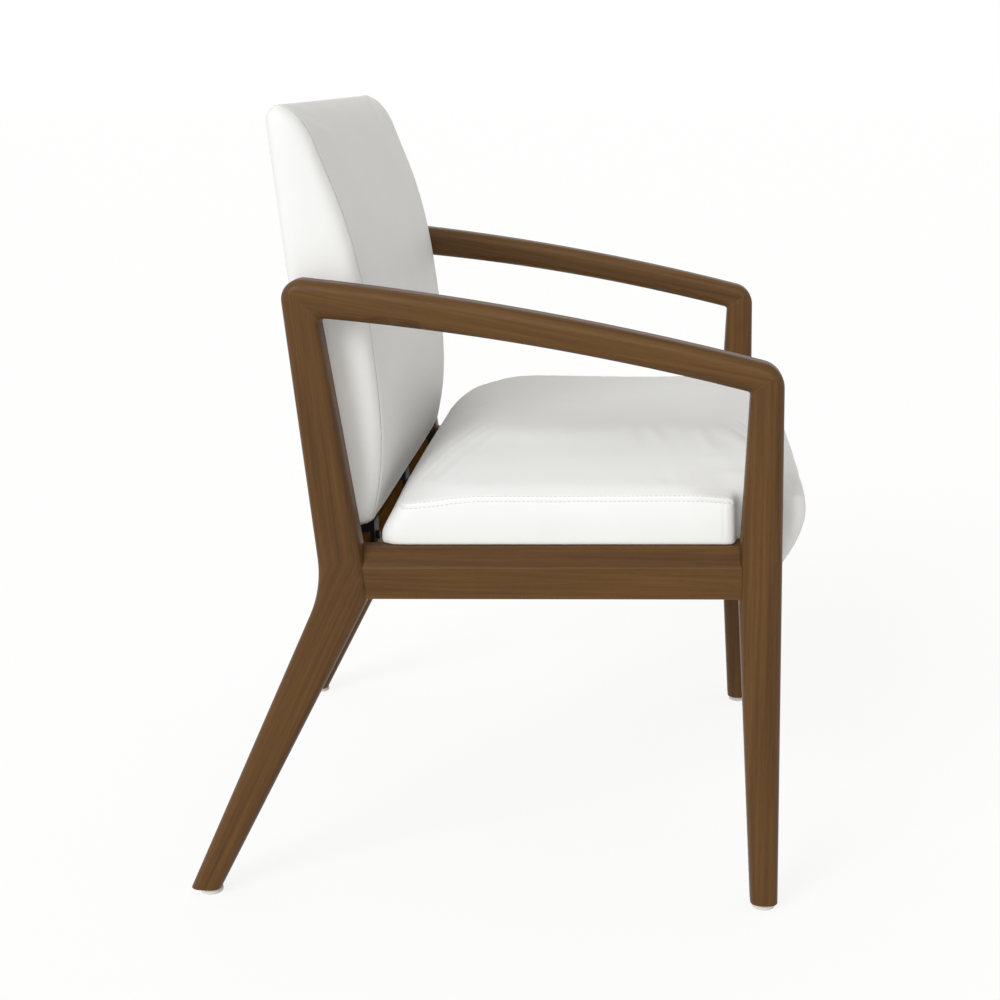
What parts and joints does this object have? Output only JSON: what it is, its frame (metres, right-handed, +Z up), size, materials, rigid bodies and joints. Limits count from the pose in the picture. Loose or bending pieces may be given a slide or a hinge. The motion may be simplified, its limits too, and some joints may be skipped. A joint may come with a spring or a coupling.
{
  "type": "healthcare armchair",
  "caption": "Wooden-framed guest armchair with an upholstered boxed seat and back, a clean-out gap between them and screw-in levelling glides.",
  "frame": {"origin": "on the floor under the middle of the chair's box", "axes": "+Z up, the sitter faces -Y, +X is the sitter's left"},
  "size_m": [0.62, 0.6469, 0.8269],
  "materials": {
    "walnut_wood": "satin lacquer",
    "inner_wood": "raw sawn",
    "plywood": "raw sanded",
    "white_upholstery": "fine grained matt coated fabric",
    "foam": "open cell foam",
    "dust_cloth": "thin black felt",
    "webbing": "woven elastic",
    "black_steel": "matt powder coat",
    "zinc_steel": "zinc plated",
    "nylon": "smooth moulded"
  },
  "bodies": {
    "chair": {"arm_dowels": "inner_wood", "back_base_bolts": "zinc_steel", "back_bolts": "zinc_steel", "back_bottom_rail": "inner_wood", "back_cover": "white_upholstery", "back_foam": "foam", "back_inserts": "zinc_steel", "back_panel": "plywood", "back_spacers": "nylon", "back_top_rail": "inner_wood", "back_webbing": "webbing", "bracket_screws": "zinc_steel", "centre_back_bracket": "black_steel", "corner_block_screws": "zinc_steel", "cross_rail_dowels": "inner_wood", "foot_inserts": "zinc_steel", "front_rail": "walnut_wood", "left_arm_rail": "walnut_wood", "left_back_bracket": "black_steel", "left_back_stile": "inner_wood", "left_front_corner_block": "inner_wood", "left_front_leg": "walnut_wood", "left_rear_corner_block": "inner_wood", "left_rear_leg": "walnut_wood", "left_side_rail": "walnut_wood", "nose_screws": "zinc_steel", "rear_rail": "walnut_wood", "right_arm_rail": "walnut_wood", "right_back_bracket": "black_steel", "right_back_stile": "inner_wood", "right_front_corner_block": "inner_wood", "right_front_leg": "walnut_wood", "right_rear_corner_block": "inner_wood", "right_rear_leg": "walnut_wood", "right_side_rail": "walnut_wood", "seat_bolts": "zinc_steel", "seat_cover": "white_upholstery", "seat_deck": "plywood", "seat_dust_cover": "dust_cloth", "seat_foam": "foam", "seat_nose_board": "plywood", "seat_nose_foam": "foam", "seat_tee_nuts": "zinc_steel", "side_rail_dowels": "inner_wood"},
    "right_front_glide": {"right_front_glide_base": "nylon"},
    "right_front_stem": {"right_front_glide_stem": "zinc_steel"},
    "left_front_glide": {"left_front_glide_base": "nylon"},
    "left_front_stem": {"left_front_glide_stem": "zinc_steel"},
    "right_rear_glide": {"right_rear_glide_base": "nylon"},
    "right_rear_stem": {"right_rear_glide_stem": "zinc_steel"},
    "left_rear_glide": {"left_rear_glide_base": "nylon"},
    "left_rear_stem": {"left_rear_glide_stem": "zinc_steel"}
  },
  "joints": [
    {"name": "right_front_level", "type": "slide", "parent": "chair", "child": "right_front_glide", "axis": [0, 0, -1], "range_m": [0, 0.008]},
    {"name": "right_front_screw", "type": "hinge", "parent": "right_front_glide", "child": "right_front_stem", "pos_m": [-0.293, -0.28575, 0.006], "axis": [0, 0, -1], "range_deg": [0, 2305]},
    {"name": "left_front_level", "type": "slide", "parent": "chair", "child": "left_front_glide", "axis": [0, 0, -1], "range_m": [0, 0.008]},
    {"name": "left_front_screw", "type": "hinge", "parent": "left_front_glide", "child": "left_front_stem", "pos_m": [0.293, -0.28575, 0.006], "axis": [0, 0, -1], "range_deg": [0, 2305]},
    {"name": "right_rear_level", "type": "slide", "parent": "chair", "child": "right_rear_glide", "axis": [0, 0, -1], "range_m": [0, 0.008]},
    {"name": "right_rear_screw", "type": "hinge", "parent": "right_rear_glide", "child": "right_rear_stem", "pos_m": [-0.293, 0.3021, 0.006], "axis": [0, 0, -1], "range_deg": [0, 2305]},
    {"name": "left_rear_level", "type": "slide", "parent": "chair", "child": "left_rear_glide", "axis": [0, 0, -1], "range_m": [0, 0.008]},
    {"name": "left_rear_screw", "type": "hinge", "parent": "left_rear_glide", "child": "left_rear_stem", "pos_m": [0.293, 0.3021, 0.006], "axis": [0, 0, -1], "range_deg": [0, 2305]}
  ],
  "couplings": [
    {"joint": "right_front_screw", "follows": "right_front_level", "rad_per_m": 5026.5},
    {"joint": "left_front_screw", "follows": "left_front_level", "rad_per_m": 5026.5},
    {"joint": "right_rear_screw", "follows": "right_rear_level", "rad_per_m": 5026.5},
    {"joint": "left_rear_screw", "follows": "left_rear_level", "rad_per_m": 5026.5}
  ]
}
